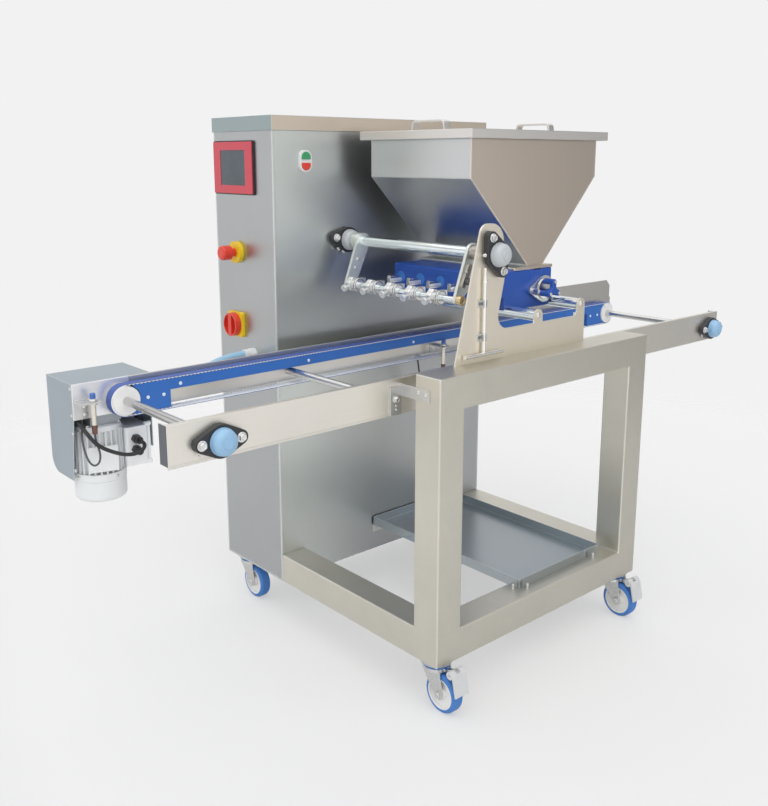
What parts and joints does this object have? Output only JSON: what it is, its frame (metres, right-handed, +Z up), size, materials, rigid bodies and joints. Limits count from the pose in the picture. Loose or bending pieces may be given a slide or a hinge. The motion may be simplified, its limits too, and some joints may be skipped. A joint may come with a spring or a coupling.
{
  "type": "batter depositor",
  "caption": "Wheeled bakery depositor with hopper, piston pump block and rocker above a twin-belt tray conveyor, steel cabinet with screen and side-mounted geared motor.",
  "frame": {"origin": "on the floor below the middle of the machine's outline", "axes": "+X along the conveyor, from the motor end, +Y from the operator to the cabinet's back, +Z up"},
  "size_m": [2.032, 0.959, 1.4185],
  "materials": {
    "stainless": "brushed",
    "polished_steel": "polished",
    "hopper_steel": "satin",
    "deep_blue": "satin",
    "band_blue": "satin",
    "belt_blue": "matt",
    "tooth_white": "matt",
    "pulley_white": "satin",
    "cast_black": "satin",
    "cap_grey": "satin",
    "cap_blue": "satin",
    "hood_grey": "matt",
    "motor_grey": "satin",
    "fan_grey": "satin",
    "black_plastic": "matt",
    "black_rubber": "matt",
    "hose_blue": "satin",
    "sensor_steel": "satin",
    "bezel_red": "satin",
    "glass_black": "gloss",
    "signal_yellow": "satin",
    "signal_red": "gloss",
    "button_white": "gloss",
    "button_green": "gloss",
    "tyre_blue": "matt"
  },
  "bodies": {
    "machine": {"cabinet_body": "stainless", "cabinet_cap": "stainless", "portal_frame": "stainless", "caster_heads": "stainless", "side_plate": "stainless", "support_rods": "polished_steel", "pump_block": "deep_blue", "pump_fittings": "polished_steel", "hopper": "hopper_steel", "bearing_housings": "cast_black", "rocker_bearing_caps": "cap_grey", "conveyor_bearing_caps": "cap_blue", "rail_plate": "stainless", "front_beam": "stainless", "guide_strips": "band_blue", "belts": "belt_blue", "belt_teeth": "tooth_white", "cross_bars": "polished_steel", "steel_brackets": "stainless", "hood": "hood_grey", "gearbox": "motor_grey", "motor": "motor_grey", "fan_cover": "fan_grey", "cable_glands": "black_plastic", "motor_cable": "black_rubber", "conduit_hose": "hose_blue", "sensors": "sensor_steel", "sensor_cables": "black_rubber", "screen_frame": "black_plastic", "screen_bezel": "bezel_red", "screen_glass": "glass_black", "switch_plates": "signal_yellow", "button_plate": "button_white"},
    "drip_tray": {"drip_tray": "stainless"},
    "hopper_lid": {"hopper_lid": "stainless"},
    "valve": {"valve_rotor": "polished_steel", "valve_knob": "deep_blue"},
    "pistons": {"pistons": "polished_steel"},
    "rocker": {"rocker_shaft": "polished_steel", "rocker_arms": "stainless", "rod_clamps": "polished_steel"},
    "drive_shaft": {"drive_shaft": "pulley_white"},
    "idler_shaft": {"idler_shaft": "pulley_white"},
    "stop_button": {"stop_button": "signal_red"},
    "switch_knob": {"switch_knob": "signal_red"},
    "start_button": {"start_button": "button_green"},
    "halt_button": {"halt_button": "signal_red"},
    "extraction_tool": {"extraction_tool": "polished_steel"},
    "yoke_front_left": {"yoke_front_left": "stainless"},
    "wheel_front_left": {"wheel_front_left": "tyre_blue"},
    "pedal_front_left": {"pedal_front_left": "stainless"},
    "yoke_front_right": {"yoke_front_right": "stainless"},
    "wheel_front_right": {"wheel_front_right": "tyre_blue"},
    "pedal_front_right": {"pedal_front_right": "stainless"},
    "yoke_rear_left": {"yoke_rear_left": "stainless"},
    "wheel_rear_left": {"wheel_rear_left": "tyre_blue"},
    "yoke_rear_right": {"yoke_rear_right": "stainless"},
    "wheel_rear_right": {"wheel_rear_right": "tyre_blue"}
  },
  "joints": [
    {"name": "drip_tray_lift", "type": "slide", "parent": "machine", "child": "drip_tray", "axis": [0, 0, 1], "range_m": [0, 0.12]},
    {"name": "hopper_lid_lift", "type": "slide", "parent": "machine", "child": "hopper_lid", "axis": [0, 0, 1], "range_m": [0, 0.15]},
    {"name": "valve_turn", "type": "hinge", "parent": "machine", "child": "valve", "pos_m": [0.139, -0.28, 0.967], "axis": [0, -1, 0], "range_deg": [0, 90]},
    {"name": "piston_stroke", "type": "slide", "parent": "machine", "child": "pistons", "axis": [1, 0, 0], "range_m": [0, 0.036]},
    {"name": "rocker_swing", "type": "hinge", "parent": "machine", "child": "rocker", "pos_m": [-0.173, -0.1, 1.087], "axis": [0, -1, 0], "range_deg": [0, 30]},
    {"name": "drive_spin", "type": "hinge", "parent": "machine", "child": "drive_shaft", "pos_m": [-0.904, -0.06, 0.766], "axis": [0, 1, 0], "continuous": true},
    {"name": "idler_spin", "type": "hinge", "parent": "machine", "child": "idler_shaft", "pos_m": [0.951, -0.06, 0.766], "axis": [0, 1, 0], "continuous": true},
    {"name": "swivel_front_left", "type": "hinge", "parent": "machine", "child": "yoke_front_left", "pos_m": [-0.376, -0.3915, 0.118], "axis": [0, 0, 1], "continuous": true},
    {"name": "roll_front_left", "type": "hinge", "parent": "yoke_front_left", "child": "wheel_front_left", "pos_m": [-0.376, -0.4195, 0.05], "axis": [1, 0, 0], "continuous": true},
    {"name": "brake_front_left", "type": "hinge", "parent": "yoke_front_left", "child": "pedal_front_left", "pos_m": [-0.376, -0.4565, 0.116], "axis": [-1, 0, 0], "range_deg": [0, 25]},
    {"name": "swivel_front_right", "type": "hinge", "parent": "machine", "child": "yoke_front_right", "pos_m": [0.352, -0.3915, 0.118], "axis": [0, 0, 1], "continuous": true},
    {"name": "roll_front_right", "type": "hinge", "parent": "yoke_front_right", "child": "wheel_front_right", "pos_m": [0.352, -0.4195, 0.05], "axis": [1, 0, 0], "continuous": true},
    {"name": "brake_front_right", "type": "hinge", "parent": "yoke_front_right", "child": "pedal_front_right", "pos_m": [0.352, -0.4565, 0.116], "axis": [-1, 0, 0], "range_deg": [0, 25]},
    {"name": "swivel_rear_left", "type": "hinge", "parent": "machine", "child": "yoke_rear_left", "pos_m": [-0.376, 0.4125, 0.118], "axis": [0, 0, 1], "continuous": true},
    {"name": "roll_rear_left", "type": "hinge", "parent": "yoke_rear_left", "child": "wheel_rear_left", "pos_m": [-0.376, 0.3845, 0.05], "axis": [1, 0, 0], "continuous": true},
    {"name": "swivel_rear_right", "type": "hinge", "parent": "machine", "child": "yoke_rear_right", "pos_m": [0.352, 0.4125, 0.118], "axis": [0, 0, 1], "continuous": true},
    {"name": "roll_rear_right", "type": "hinge", "parent": "yoke_rear_right", "child": "wheel_rear_right", "pos_m": [0.352, 0.3845, 0.05], "axis": [1, 0, 0], "continuous": true},
    {"name": "stop_press", "type": "slide", "parent": "machine", "child": "stop_button", "axis": [1, 0, 0], "range_m": [0, 0.0045], "stiffness_N_per_m": 2500},
    {"name": "switch_turn", "type": "hinge", "parent": "machine", "child": "switch_knob", "pos_m": [-0.43, 0.3825, 0.85], "axis": [1, 0, 0], "range_deg": [0, 90]},
    {"name": "start_press", "type": "slide", "parent": "machine", "child": "start_button", "axis": [0, 1, 0], "range_m": [0, 0.0025], "stiffness_N_per_m": 800},
    {"name": "halt_press", "type": "slide", "parent": "machine", "child": "halt_button", "axis": [0, 1, 0], "range_m": [0, 0.0025], "stiffness_N_per_m": 800},
    {"name": "tool_pull", "type": "slide", "parent": "machine", "child": "extraction_tool", "axis": [0, -1, 0], "range_m": [0, 0.04]}
  ],
  "couplings": [
    {"joint": "idler_spin", "follows": "drive_spin", "ratio": 1}
  ]
}
